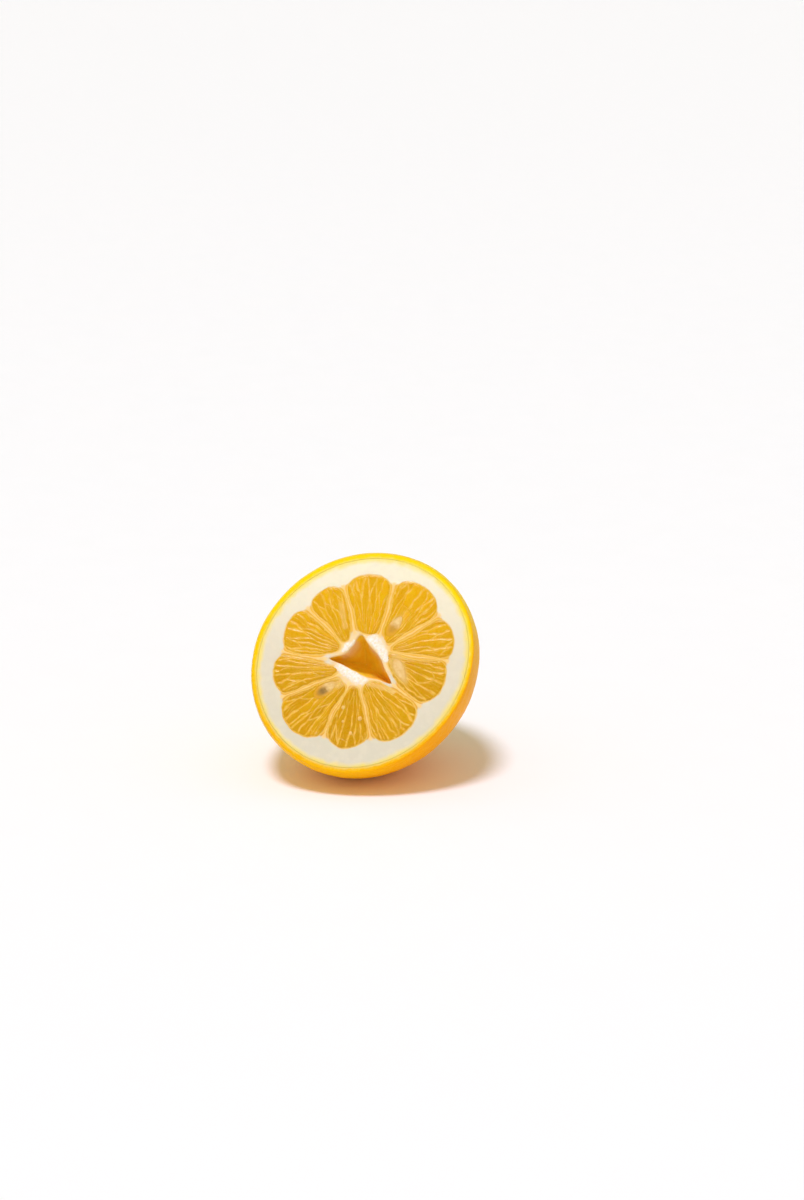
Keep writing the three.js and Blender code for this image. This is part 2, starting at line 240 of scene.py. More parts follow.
def closed_curve(corners, at):
    """Points of the centripetal Catmull-Rom curve through corners; 2.5 is halfway from 2 to 3."""
    corners = np.asarray(corners, float)
    whole = np.floor(at).astype(int)
    p0, p1, p2, p3 = (corners[(whole + k) % len(corners)] for k in (-1, 0, 1, 2))
    d0, d1, d2 = (
        np.sqrt(np.linalg.norm(b - a, axis=1, keepdims=True)) for a, b in ((p0, p1), (p1, p2), (p2, p3))
    )
    start = ((p1 - p0) / d0 - (p2 - p0) / (d0 + d1) + (p2 - p1) / d1) * d1
    end = ((p2 - p1) / d1 - (p3 - p1) / (d1 + d2) + (p3 - p2) / d2) * d1
    t = (at - whole)[:, None]
    return (
        p1
        + start * t
        + (3 * (p2 - p1) - 2 * start - end) * t**2
        + (2 * (p1 - p2) + start + end) * t**3
    )


def inside_distance(points, polygon):
    """How far each 2-D point lies inside a polygon, negative outside."""
    nearest = np.full(len(points), np.inf)
    inside = np.zeros(len(points), bool)
    x, y = points.T
    for a, b in zip(polygon, np.roll(polygon, -1, axis=0)):
        edge = b - a
        share = np.clip(((x - a[0]) * edge[0] + (y - a[1]) * edge[1]) / (edge @ edge), 0, 1)
        gap = np.hypot(x - a[0] - share * edge[0], y - a[1] - share * edge[1])
        nearest = np.minimum(nearest, gap)
        if edge[1]:
            crossing = a[0] + (y - a[1]) / edge[1] * edge[0]
            inside ^= ((a[1] > y) != (b[1] > y)) & (x < crossing)
    return np.where(inside, nearest, -nearest)


def with_third(points, third):
    """2-D points with a third coordinate that is the same for all."""
    return np.concatenate((points, np.full(points.shape[:-1] + (1,), float(third))), axis=-1)


def streak_distance(points, start, end):
    """How far 2-D points lie from the straight line between two ends."""
    start, along = np.array(start), np.subtract(end, start)
    share = np.clip((points - start) @ along / (along @ along), 0, 1)
    return np.linalg.norm(points - start - share[..., None] * along, axis=-1)


# ---------------- the body's surface

def egg_end(inset):
    """Depth at which the body without its nipple ends, drawn in by "inset" on every side."""
    return WIDEST_DEPTH + BACK_REACH - inset


def section_shape(depth, angle):
    """How far a section reaches at one angle, as a share of its mean radius."""
    fade = np.maximum(0, 1 - depth / egg_end(0)) ** FADE
    oval = OVAL * np.cos(2 * (angle - OVAL_ANGLE))
    corners = CORNERS * np.cos(3 * (angle - CORNERS_ANGLE))
    return 1 + fade * (oval + corners)


def egg_radius(depth, inset):
    """Mean radius of the body without its nipple, drawn in by "inset" on every side."""
    reach = np.where(depth < WIDEST_DEPTH, FRONT_REACH, BACK_REACH) - inset
    share = (depth - WIDEST_DEPTH) / reach
    return (WIDEST_RADIUS - inset) * np.sqrt(np.maximum(0, 1 - share**2))


def wall_depths(rows, inset):
    """Depths of the rows of a hidden wall, closer together towards its end."""
    swing = np.linspace(0.03, 0.99, rows) * math.pi / 2
    return egg_end(inset) * np.sin(swing)


def body_radius(depth):
    """Mean radius of the outside, with the nipple blended in."""
    share = (depth - NIPPLE_DEPTH) / NIPPLE_REACH
    nipple = NIPPLE_RADIUS * np.sqrt(np.maximum(0, 1 - share**2))
    total = egg_radius(depth, 0) ** NIPPLE_BLEND + nipple**NIPPLE_BLEND
    return total ** (1 / NIPPLE_BLEND)


def at_depth(x, y, depth):
    """Moves points of the face back to their place in the section at "depth"."""
    x, y, depth = np.broadcast_arrays(x, y, depth)
    drift = DRIFT * depth
    return np.stack((x + drift * math.cos(DRIFT_ANGLE), y + drift * math.sin(DRIFT_ANGLE), -depth), axis=-1)


def round_section(depth, radius, angle):
    """Points of the section at one depth, with a given mean radius, at the given angles."""
    reach = radius * section_shape(depth, angle)
    return at_depth(reach * np.cos(angle), reach * np.sin(angle), depth)


def to_object(points):
    """From the half's own frame, in millimetres, to the object's frame, in metres."""
    right = np.array((math.cos(TURN), -math.sin(TURN), 0))
    out = np.array((
        -math.sin(TURN) * math.cos(TILT_BACK),
        -math.cos(TURN) * math.cos(TILT_BACK),
        math.sin(TILT_BACK),
    ))
    axes = np.stack((right, np.cross(out, right), out))
    return FACE_CENTRE + points / MILLIMETRES @ axes


# ---------------- segments

def segment_curve(corners, at):
    """Points of a segment's outline, a little uneven as in a real lemon."""
    curve = closed_curve(corners, at)
    spot = with_third(curve, 0)
    uneven = np.stack((rough_noise(spot, 2.4, seed=141), rough_noise(spot, 2.4, seed=143)), axis=1)
    return curve + OUTLINE_UNEVEN * uneven


OUTLINE_PLACES = np.linspace(0, 8, OUTLINE_POINTS, endpoint=False)
OUTLINES = [segment_curve(corners, OUTLINE_PLACES) for corners in SEGMENTS]


def segment_scale(depth):
    """The size of a segment's section at one depth, against the face."""
    reach = FRONT_REACH if depth < WIDEST_DEPTH else PULP_REACH
    height = math.sqrt(1 - ((depth - WIDEST_DEPTH) / reach) ** 2)
    return height / math.sqrt(1 - (WIDEST_DEPTH / FRONT_REACH) ** 2)


def segment_section(loop, depth, inset):
    """A segment's section at one depth, drawn in by "inset" on every side."""
    scale = segment_scale(depth)
    draw = inset + MEMBRANE_KEPT * max(0, 1 - scale)
    along = np.roll(loop, -1, axis=0) - np.roll(loop, 1, axis=0)
    along /= np.linalg.norm(along, axis=1, keepdims=True)
    x = loop[:, 0] * scale - along[:, 1] * draw
    y = loop[:, 1] * scale + along[:, 0] * draw
    return at_depth(x, y, depth)


def seed_reach(points, seed):
    """Where 2-D points lie on a seed: along it from -1 to 1, and out from its middle to 1 at its edge."""
    offset = points - np.array(seed["centre"])
    cos, sin = math.cos(seed["angle"]), math.sin(seed["angle"])
    along = (offset[..., 0] * cos + offset[..., 1] * sin) / seed["half"][0]
    across = (-offset[..., 0] * sin + offset[..., 1] * cos) / seed["half"][1]
    width = 1 - SEED_TAPER * np.clip(along, -1, 1)
    return along, np.hypot(along, across / width)


# ---------------- meshes

def band(first, second):
    """Quads between two rows of point numbers that close on themselves."""
    return np.stack((first, np.roll(first, -1), np.roll(second, -1), second), axis=1)


def fan(middle, ring):
    """Triangles between the number of a middle point and a row of numbers that closes on itself."""
    return [(middle, a, b) for a, b in zip(ring, np.roll(ring, -1))]


def closed_grid(rows, columns):
    """Faces of a grid whose rows close on themselves, with a fan over its first and its last row. The
    fans' middles are the two points that follow the grid."""
    numbers = np.arange(rows * columns).reshape(rows, columns)
    quads = np.concatenate([band(a, b) for a, b in itertools.pairwise(numbers)])
    first_cap = fan(numbers.size, numbers[0, ::-1])
    last_cap = fan(numbers.size + 1, numbers[-1])
    return quads.tolist() + first_cap + last_cap


def turned(faces):
    """The same faces seen from the other side."""
    return [face[::-1] for face in faces]


def and_ends(numbers, first=0, last=0):
    """The numbers of a grid's points, followed by those of its fans' middles."""
    return np.append(numbers.ravel(), (first, last))


def grid_normals(grid):
    """Unit normals of a grid of points whose rows close on themselves."""
    along = np.roll(grid, -1, axis=1) - np.roll(grid, 1, axis=1)
    across = np.gradient(grid, axis=0)
    normal = np.cross(along, across)
    return normal / np.maximum(np.linalg.norm(normal, axis=-1, keepdims=True), TINY)


def add_piece(name, points, faces, values, material, slot, *nodes):
    """A mesh object in the object's frame that stands for CAD nodes. "values" are numbers a point."""
    mesh = bpy.data.meshes.new(name)
    mesh.from_pydata(points.tolist(), [], faces)
    mesh.shade_smooth()
    for key, numbers in values.items():
        layer = mesh.attributes.new(key, "FLOAT", "POINT")
        layer.data.foreach_set("value", np.ascontiguousarray(numbers, np.float32).ravel())
    mesh.materials.append(material)
    mesh.validate()
    piece = bpy.data.objects.new(name, mesh)
    bpy.context.scene.collection.objects.link(piece)
    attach(piece, "root")
    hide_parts(*nodes)


# ---------------- skin

RIM_ROUNDING = 0.22
GLAND_SPACING = 1.35
GLAND_DEPTH = 0.11
GLAND_REACH = (0.22, 0.14)  # in spacings: the least, and how much more the largest has
SWELLING = 0.05  # between the glands
LUMPS = 0.16
SMALL_LUMPS = 0.05
FURROWS = 0.22
FURROW_COUNT = 9
NECK_DEPTH = 45.0
NECK_LENGTH = 5.5
RIM_UNEVEN = 0.04
RIM_DENTS = 0.05
SCAR_EDGE = (1.7, 1.0)  # from where to where round the nipple's tip the scar begins
RIM_INSETS = (0.45, 0.7, 0.9, 1.05, 1.15, 1.25, 1.35)  # down the cut edge of the skin, from outside in
RIM_FLUSH = 1.1  # from there in the rim sinks by RIM_SINK, under the edge of the white layer
RIM_SINK = 0.3
SKIN_BACK = 1.4  # inset of the skin's inner wall


def skin_profile():
    """Depth, inset and mean radius down the skin: outside from the end to the cut, over the rim, and
    back inside to the end."""
    depth = BODY_END * np.sin(np.linspace(0, math.pi / 2, FINE_STEPS))
    radius = body_radius(depth)
    length = np.concatenate(([0], np.cumsum(np.hypot(np.diff(depth), np.diff(radius)))))
    # Rows at even distances, from just beside the tip to just behind the cut
    even = np.interp(np.linspace(length[-1] * 0.9995, 0.6, SKIN_ROWS), length, depth)
    outside = [(d, 0, body_radius(d)) for d in even]

    turn = np.linspace(0, math.pi / 2, 5)
    edge = [(RIM_ROUNDING * (1 - math.sin(t)), RIM_ROUNDING * (1 - math.cos(t))) for t in turn]
    sink = RIM_SINK / (RIM_INSETS[-1] - RIM_FLUSH)
    flat = [(sink * max(0, inset - RIM_FLUSH), inset) for inset in RIM_INSETS]
    rim = [(d, i, egg_radius(d, i)) for d, i in edge + flat]

    inner = wall_depths(SKIN_BACK_ROWS, SKIN_BACK)
    inside = [(d, SKIN, egg_radius(d, SKIN_BACK)) for d in inner]
    return np.array(outside + rim + inside, float)


def skin_relief(points, depth, inset, angle):
    """How far the skin stands out, and how much each point belongs to an oil gland's pit."""
    shift = 0.35 * rough_noise(points, 3.0, seed=5)[..., None]
    nearest, size = scattered(points / GLAND_SPACING + shift, seed=11)
    least, more = GLAND_REACH
    gland = np.exp(-((nearest / (least + more * size)) ** 2))
    swelling = SWELLING * smoothstep(0.2, 0.75, nearest)
    lumps = LUMPS * rough_noise(points, 9.0, seed=21) + SMALL_LUMPS * noise(points, 2.6, seed=31)
    neck = np.exp(-(((depth - NECK_DEPTH) / NECK_LENGTH) ** 2))
    furrows = FURROWS * neck * np.cos(FURROW_COUNT * angle + 2.5 * noise(points, 12.0, seed=41))
    outside = smoothstep(0.15, 0, inset) * smoothstep(0, 1.2, depth)
    return outside * (lumps + swelling + furrows - GLAND_DEPTH * gland), gland


def make_skin(material):
    """The zest: its outside with the oil glands, its cut rim and its inner wall."""
    depth, inset, radius = skin_profile().T[:, :, None]
    angle = np.linspace(0, 2 * math.pi, SKIN_COLUMNS, endpoint=False)[None, :]
    grid = round_section(depth, radius, angle)
    faces = closed_grid(len(grid), SKIN_COLUMNS)
    depth, inset = (np.broadcast_to(v, grid.shape[:2]) for v in (depth, inset))
    relief, gland = skin_relief(grid, depth, inset, angle)
    normal = grid_normals(grid)
    grid = grid + relief[..., None] * normal
    rim = (inset > 0.2) & (inset < RIM_FLUSH) & (depth < 0.01)
    uneven = RIM_UNEVEN * noise(grid, 0.7, seed=51) - RIM_DENTS * gland
    grid[..., 2] += np.where(rim, uneven, 0)

    from_end = np.linalg.norm(grid - at_depth(0, 0, BODY_END), axis=-1)
    scar = smoothstep(*SCAR_EDGE, from_end + 0.5 * noise(grid, 0.9, seed=57))
    blended = inset + smoothstep(0.2, 0.6, inset) * 0.3 * rough_noise(grid, 1.6, seed=59)
    # Painted shade: the skin is made more orange to the right and below, as it looks in shade lit by warm
    # bounced light
    warm = 0.85 * smoothstep(-6, 24, grid[..., 0]) * smoothstep(26, -8, grid[..., 1])

    points = to_object(grid.reshape(-1, 3))
    points[:, 2] = np.maximum(points[:, 2], 0)
    ends = to_object(at_depth(0, 0, np.array((BODY_END, egg_end(SKIN_BACK)))))
    values = {
        "gland": and_ends(gland),
        "inset": and_ends(blended, 0, SKIN),
        "height": and_ends(grid[..., 1]),
        "scar": and_ends(scar, 1, 0),
        "warm": and_ends(warm),
        "waxy": and_ends(smoothstep(6, 26, depth), 1, 0),
    }
    add_piece("zest", np.concatenate((points, ends)), faces, values, material, "skin", "skin")


# ---------------- pith

PITH_INSET = 1.15  # the white layer reaches this near to the outside on the cut face
PITH_BACK = 1.45  # inset of its wall behind the face
HOLLOW_CENTRE = np.array((0.12, 0.28))
HOLLOW_RIM = 0.5  # depth at which the walls of the hollow begin
WALL_WRINKLES = 0.22
FAR = 9.0  # stands for the distance from what is nowhere near

# What stands out of the cut face and what lies under it
POCKET_FLOOR = 2.2
POCKET_ROUNDING = 0.04
MEMBRANE_RISE = 0.06
THREAD_RISE = 0.08
FLUFF_RISE = 0.12
FLUFF_RELIEF = 0.18
EDGE_FALL = 0.16
MOUTH_FALL = 0.4


def pocket_distances(points):
    """Distances outside the nearest two segments, nearest first; negative inside a segment."""
    outside = np.stack([-inside_distance(points, outline) for outline in OUTLINES])
    outside.sort(axis=0)
    return outside[0], outside[1]


def streaks(points, listed):
    """How much each 2-D point belongs to the streaks of a list, from 0 to 1."""
    return np.max([
        smoothstep(1.6 * half, 0.5 * half, streak_distance(points, start, end))
        for start, end, half in listed
    ], axis=0)


def pith_face(mouth, edge):
    """Grid of face points from the hollow's mouth out to the skin, their heights and colour values.
    "White" is torn fluff, a thread runs along the middle of a membrane, and flesh is pulp that clings
    to one."""
    share = np.linspace(0, 1, PITH_ROWS)[:, None, None]
    flat = mouth + (edge - mouth) * share
    near, next_near = (d.reshape(flat.shape[:2]) for d in pocket_distances(flat.reshape(-1, 2)))
    spot = with_third(flat, 0)
    near = near + 0.15 * rough_noise(spot, 1.3, seed=75)

    width = near + next_near  # of the membrane between two segments
    from_middle, from_edge, from_mouth = (
        np.linalg.norm(flat - other, axis=-1) for other in (HOLLOW_CENTRE, edge, mouth)
    )
    ragged = np.stack((rough_noise(spot, 1.6, seed=63), rough_noise(spot, 1.6, seed=67)), axis=-1)
    white = streaks(flat + 0.9 * ragged, CORE_FLUFF)
    core = smoothstep(CORE_REACH + 0.5, CORE_REACH - 2.5, from_middle)
    membrane = np.maximum(smoothstep(3.0, 1.4, width), core) * (1 - white)
    off_middle = (next_near - near) / 2 + 0.12 * rough_noise(spot, 1.1, seed=69)
    thread = smoothstep(0.26 * width, 0.08 * width, off_middle) * smoothstep(3.4, 2.2, width)
    flesh = smoothstep(0.8, 0.4, near + 0.15 * rough_noise(spot, 0.9, seed=73)) * smoothstep(3.0, 2.0, width)
    flesh = flesh * (1 - white) * (1 - 0.7 * core)

    height = 0.03 * rough_noise(spot, 1.6, seed=61) + 0.05 * noise(spot, 6.0, seed=71)
    height += MEMBRANE_RISE * membrane
    height += white * (FLUFF_RISE + FLUFF_RELIEF * rough_noise(spot, 0.7, seed=65))
    height -= POCKET_ROUNDING * smoothstep(0.5, -0.1, near)
    height -= POCKET_FLOOR * smoothstep(-0.25, -0.95, near)
    height += THREAD_RISE * thread
    height -= MOUTH_FALL * smoothstep(0.4, 0, from_mouth) + EDGE_FALL * smoothstep(0.5, 0, from_edge)
    values = {
        "membrane": membrane, "core": core, "fluff": white, "thread": thread, "near": near,
        "flesh": flesh, "height": flat[..., 1],
        "from_edge": from_edge + 0.5 * rough_noise(spot, 1.8, seed=77),
    }
    return flat, height, values


def hollow_mouth(angle):
    """Where rays from the middle of the hollow, at the given angles, meet its mouth."""
    turn = 2 * math.pi
    corners = len(HOLLOW_MOUTH)
    curve = closed_curve(HOLLOW_MOUTH, np.linspace(0, corners, MOUTH_STEPS * corners, endpoint=False))
    bearing = np.arctan2(*(curve - HOLLOW_CENTRE).T[::-1]) % turn
    order = np.argsort(bearing)
    x, y = (np.interp(angle, bearing[order], curve[order, k], period=turn) for k in (0, 1))
    return np.stack((x, y), axis=1)


def hollow_walls(mouth):
    """Grid of the hollow's wrinkled walls, from its bottom up. Gives the points, the same points on
    the face before they are wrinkled, and how deep they lie."""
    share = np.linspace(0.02, 0.985, HOLLOW_ROWS)[::-1, None, None]
    walls = HOLLOW_CENTRE + (mouth - HOLLOW_CENTRE) * np.sqrt(1 - share**2)
    down = np.broadcast_to(share[..., 0] * HOLLOW_DEPTH + HOLLOW_RIM, walls.shape[:2])
    hollow = at_depth(walls[..., 0], walls[..., 1], down)
    wrinkle = WALL_WRINKLES * rough_noise(hollow * np.array((1, 1, 0.35)), 1.8, seed=81)
    inward = HOLLOW_CENTRE - walls
    inward /= np.linalg.norm(inward, axis=-1, keepdims=True)
    hollow[..., :2] += inward * wrinkle[..., None]
    return hollow, walls, down


def make_pith(material):
    """The white layer with the membranes and the core: the walls of the hollow, the cut face and the
    back under the skin, as one grid of rings."""
    angle = np.linspace(0, 2 * math.pi, PITH_COLUMNS, endpoint=False)
    mouth = hollow_mouth(angle)
    edge = round_section(0, egg_radius(0, PITH_INSET), angle)[:, :2]
    flat, height, on_face = pith_face(mouth, edge)
    face = np.concatenate((flat, height[..., None]), axis=-1)
    hollow, walls, down = hollow_walls(mouth)

    under_rim = RIM_SINK + 0.04
    depth = np.append(under_rim, wall_depths(PITH_BACK_ROWS, PITH_BACK))[:, None]
    back = round_section(depth, egg_radius(depth, PITH_BACK), angle[None, :])

    grid = np.concatenate((hollow, face, back))
    ends = [at_depth(*HOLLOW_CENTRE, HOLLOW_DEPTH + HOLLOW_RIM), at_depth(0, 0, egg_end(PITH_BACK))]
    points = to_object(np.concatenate((grid.reshape(-1, 3), ends)))
    faces = turned(closed_grid(len(grid), PITH_COLUMNS))

    ragged = 0.7 * rough_noise(hollow * np.array((1, 1, 0.5)), 1.8, seed=83)[..., None]
    veil = 0.8 * streaks(hollow[..., :2] + ragged, HOLLOW_VEILS) * smoothstep(11, 4, down)
    veil = np.maximum(veil, streaks(walls, CORE_FLUFF) * smoothstep(2.0, 0.5, down))
    shade = streaks(hollow[..., :2] + ragged, HOLLOW_SHADE)
    in_hollow = {"fluff": veil, "down": down, "near": FAR, "from_edge": FAR, "shade": shade}

    def column(key):
        """One value at every point: in the hollow, on the face, behind it and at the two ends."""
        parts = (
            np.broadcast_to(in_hollow.get(key, 0), hollow.shape[:2]),
            np.broadcast_to(on_face.get(key, 0), face.shape[:2]),
            np.full(back.shape[:2], FAR if key in ("near", "from_edge") else 0.0),
        )
        return and_ends(np.concatenate(parts))

    values = {key: column(key) for key in (*on_face, "down", "shade")}
    add_piece("pith_body", points, faces, values, material, "pith", "pith")


# ---------------- pulp

CELL_SIZE = (9.0, 1.35)  # along a segment and across it
FIBRE_SIZE = (6.0, 0.7)
CELL_FOCUS = 5.5  # the cells fan out from this far behind the segment's tip
CELL_MIDDLE = 0.62  # share of the way to the rim at which a cell is CELL_SIZE across
CELL_WAVES = (0.045, 0.010)  # large and small, in radians
CELL_LAYER = 7.0  # how far apart the segments lie in the noise, so that no two are alike
CELL_DOME = 0.16
CELL_SLOPE = 0.16
CELL_STEP = 0.12  # between the highest and the lowest cell
FIBRE_RISE = 0.03
SWELL = 0.07
SEED_SHOULDER = 0.11  # how high the pulp stands beside a seed
SEED_BED = 0.30  # how deep it lies under one
BORDER_DROP = 0.07
LIP_DROP = 0.03

# How far the pulp reaches past its outline: at the border of its face, at the lip and behind it
BORDER_REACH = 0.25
LIP_REACH = 0.32
SIDE_REACH = 0.05


def stretch(corners, start, stop, steps):
    """Points of a segment's outline from one of its corners to another."""
    return segment_curve(corners, np.linspace(start, stop, steps + 1))


def pulp_patch(corners):
    """Grid of points spanned by a segment's outline: rows run from tip to rim, columns side to side."""
    right = stretch(corners, 0, 2, PULP_ALONG)[:, None]
    rim = stretch(corners, 2, 5, PULP_ACROSS)[None, :]
    left = stretch(corners, 5, 7, PULP_ALONG)[::-1][:, None]
    tip = stretch(corners, 7, 8, PULP_ACROSS)[::-1][None, :]
    s = np.linspace(0, 1, PULP_ALONG + 1)[:, None, None]
    t = np.linspace(0, 1, PULP_ACROSS + 1)[None, :, None]
    sides = right * (1 - t) + left * t
    ends = tip * (1 - s) + rim * s
    near = right[:1] * (1 - t) + left[:1] * t
    far = right[-1:] * (1 - t) + left[-1:] * t
    return sides + ends - (near * (1 - s) + far * s)


def patch_border(rows, columns):
    """Numbers of a grid's border points, anticlockwise from the first tip point."""
    numbers = np.arange(rows * columns).reshape(rows, columns)
    return np.concatenate((
        numbers[:-1, 0], numbers[-1, :-1], numbers[:0:-1, -1], numbers[0, :0:-1],
    ))


def juice_cells(flat, corners, number):
    """Pattern of juice cells, long teardrops that fan out from behind the segment's tip, and of the
    finer fibres in them: the gaps to their seams, which seams run lengthwise, and cell numbers."""
    corners = np.array(corners)
    tip = (corners[0] + corners[7]) / 2
    rim = (corners[3] + corners[4]) / 2
    axis = (rim - tip) / np.linalg.norm(rim - tip)
    focus = tip - CELL_FOCUS * axis
    offset = flat - focus
    spot = with_third(flat, CELL_LAYER * number)
    reach = np.linalg.norm(offset, axis=-1)
    bearing = np.arctan2(axis[0] * offset[..., 1] - axis[1] * offset[..., 0], offset @ axis)
    large, small = CELL_WAVES
    bearing = bearing + large * rough_noise(spot, 5.0, seed=91) + small * noise(spot, 1.4, seed=95)
    middle = np.linalg.norm(rim - focus) * CELL_MIDDLE
    spread = np.stack((reach, bearing * middle), axis=-1)
    seam, lengthwise, label = cell_seams(spread, CELL_SIZE, seed=101 + number)
    fibre, straight, _ = cell_seams(spread, FIBRE_SIZE, seed=201 + number)
    return seam, lengthwise**3, fibre + 0.3 * (1 - straight**3), label, spot


def cell_height(seam, fibre, label, spot, inner):
    """Height of the cut pulp: domed cells, each at a level of its own, with finer fibres in them. The
    pulp swells a little inside its segment's edge."""
    edge = smoothstep(-0.3, 0.7, inner)
    height = -0.02 + 0.08 * edge + SWELL * rough_noise(spot, 2.2, seed=111) * edge
    dome = CELL_DOME * (1 - np.exp(-seam / CELL_SLOPE))
    step = CELL_STEP * (label - 0.5) * smoothstep(0, 0.2, seam)
    fibres = FIBRE_RISE * smoothstep(0, 0.15, fibre)
    return height + smoothstep(0.0, 0.7, inner) * (dome + step + fibres)


def cell_walls(seam, lengthwise, fibre, spot, inner):
    """How much each point of the cut pulp belongs to a pale cell wall, a thread or the frayed edge."""
    strength = smoothstep(-0.7, 0.3, rough_noise(spot, 2.6, seed=121))
    wall = smoothstep(0.34, 0.03, seam) * (0.35 + 0.65 * strength) * (0.25 + 0.75 * lengthwise)
    threads = smoothstep(0.2, 0.02, fibre) * smoothstep(-0.3, 0.4, rough_noise(spot, 3.1, seed=123))
    wall = np.maximum(wall, 0.6 * threads) * (0.5 + 0.5 * smoothstep(0.1, 0.9, inner))
    frayed = inner + 0.4 * rough_noise(spot, 0.9, seed=125)
    return np.maximum(wall, 0.8 * smoothstep(0.4, 0.0, frayed))


def pulp_surface(flat, corners, outline, number):
    """Height of the cut pulp at grid points, and how much is cell wall, tint, pale film or painted
    highlight, and edge.
    """
    inner = inside_distance(flat.reshape(-1, 2), outline).reshape(flat.shape[:2])
    seam, lengthwise, fibre, label, spot = juice_cells(flat, corners, number)
    height = cell_height(seam, fibre, label, spot, inner)
    wall = cell_walls(seam, lengthwise, fibre, spot, inner)
    film = np.zeros(flat.shape[:2])
    for seed in SEEDS:
        if seed["segment"] == number:
            # The pulp is level beside a seed, lies deep under it, and leaves a pale skin round it
            along, out = seed_reach(flat, seed)
            beside = 0.8 * smoothstep(1.6, 1.05, out)
            height = height * (1 - beside) + SEED_SHOULDER * beside
            under = smoothstep(0.98, 0.86, out)
            height = height * (1 - under) - SEED_BED * under
            wall = wall * (1 - smoothstep(1.15, 0.9, out))
            strength = 0.4 * smoothstep(-0.4, 0.4, along) if seed["dark"] else 0.6
            loose = out + 0.3 * rough_noise(spot, 1.2, seed=129)
            film = np.maximum(film, strength * smoothstep(1.9, 0.9, loose))
    for segment, start, end, half, strength in FILMS:
        if segment == number:
            gap = streak_distance(flat, start, end) + 0.5 * rough_noise(spot, 1.8, seed=127)
            film = np.maximum(film, strength * smoothstep(1.5 * half, 0.4 * half, gap))
    # Each drop is painted pale all over with the film's colour, a painted highlight
    for segment, middle, radius in DROPS:
        if segment == number:
            share = np.clip(1 - np.sum((flat - np.array(middle)) ** 2, axis=-1) / radius**2, 0, 1)
            height = height + 0.5 * radius * np.sqrt(share)
            film = np.maximum(film, 0.8 * smoothstep(0, 0.3, share))
    tint = label * DARKER_CELLS.get(number, 1)
    return height, {"wall": wall, "tint": tint, "film": film, "inner": inner}


def make_pulp(number, material):
    """One segment of pulp: its cut face, a lip round it and its sides down to their end."""
    corners = SEGMENTS[number - 1]
    flat = pulp_patch(corners)
    rows, columns = flat.shape[:2]
    border = patch_border(rows, columns)
    loop = flat.reshape(-1, 2)[border]
    height, on_face = pulp_surface(flat, corners, OUTLINES[number - 1], number)

    face = np.concatenate((flat, height[..., None]), axis=-1).reshape(-1, 3)
    face[border, :2] = segment_section(loop, 0, -BORDER_REACH)[:, :2]
    face[border, 2] -= BORDER_DROP
    lip = segment_section(loop, 0, -LIP_REACH)
    lip[:, 2] = face[border, 2] - LIP_DROP
    numbers = np.arange(rows * columns).reshape(rows, columns)
    faces = np.stack(
        (numbers[:-1, :-1], numbers[1:, :-1], numbers[1:, 1:], numbers[:-1, 1:]), axis=-1
    ).reshape(-1, 4)

    sides = [lip, *(segment_section(loop, depth, -SIDE_REACH) for depth in PULP_DEPTHS)]
    side_numbers = len(face) + np.arange(len(sides) * len(border)).reshape(len(sides), -1)
    walls = [band(a, b)[:, ::-1] for a, b in itertools.pairwise([border, *side_numbers])]
    faces = np.concatenate([faces, *walls]).tolist()
    faces += turned(fan(len(face) + side_numbers.size, side_numbers[-1]))

    points = np.concatenate([face, *sides, [sides[-1].mean(axis=0)]])
    behind = np.zeros(len(points) - len(face))
    values = {key: np.append(numbers.ravel(), behind) for key, numbers in on_face.items()}
    values["height"] = points[:, 1]
    name = f"{number:02d}"
    add_piece(f"pulp_cut_{name}", to_object(points), faces, values, material, "pulp", f"pulp_{name}")


# ---------------- seeds

SEED_COLUMNS = 64
SEED_TOP = (0.06, 0.15)  # height of the cut seed at its rim and in its middle
SEED_SIDE = 0.16  # depth at which its round back begins
SEED_BACK = 0.9  # its thickness there, as a share of its whole
SEED_ROUGHNESS = 0.03


def make_seed(number, material):
    """A seed cut lengthwise: a slightly domed cut face inside a thin coat, and its round back."""
    seed = SEEDS[number - 1]
    angle = np.linspace(0, 2 * math.pi, SEED_COLUMNS, endpoint=False)
    low, high = SEED_TOP
    thickness = SEED_BACK * seed["half"][2]
    top = [(s, low + (high - low) * (1 - s**4)) for s in np.linspace(0.05, 0.97, 16)]
    back = [(math.cos(t), -SEED_SIDE - thickness * math.sin(t)) for t in np.linspace(0.05, 1.5, 12)]
    out, height = np.array(top + back).T[:, :, None]
    along = out * np.cos(angle)
    across = out * np.sin(angle) * (1 - SEED_TAPER * along)
    height = np.broadcast_to(height, along.shape)

    cos, sin = math.cos(seed["angle"]), math.sin(seed["angle"])
    x, y = seed["centre"]
    u, v = along * seed["half"][0], across * seed["half"][1]
    grid = np.stack((x + u * cos - v * sin, y + u * sin + v * cos, height), axis=-1)
    grid[..., 2] += SEED_ROUGHNESS * noise(grid, 0.8, seed=131)
    ends = [(x, y, high), (x, y, -SEED_SIDE - thickness)]
    points = np.concatenate((grid.reshape(-1, 3), ends))
    faces = turned(closed_grid(len(grid), SEED_COLUMNS))

    smear = along + 0.35 * rough_noise(grid, 1.2, seed=133)
    dark = 0.9 * seed["dark"] * smoothstep(0.35, -0.3, smear) * smoothstep(0.9, 0.3, out)
    end = 0.9 * smoothstep(-0.4, 0.4, smear) if seed["dark"] else 0.85
    pale = end * (0.45 + 0.55 * smoothstep(1.05, 0.5, out + 0.25 * rough_noise(grid, 1.0, seed=137)))
    values = {"dark": and_ends(dark, seed["dark"], 0), "pale": and_ends(pale)}
    add_piece(f"seed_cut_{number}", to_object(points), faces, values, material, "seed", f"seed_{number}")


# ---------------- material helpers

def linear(red, green, blue):
    """A colour given in 0 to 255 as a screen shows it."""
    shares = [c / 255 for c in (red, green, blue)]
    return (*(c / 12.92 if c <= 0.04045 else ((c + 0.055) / 1.055) ** 2.4 for c in shares), 1)


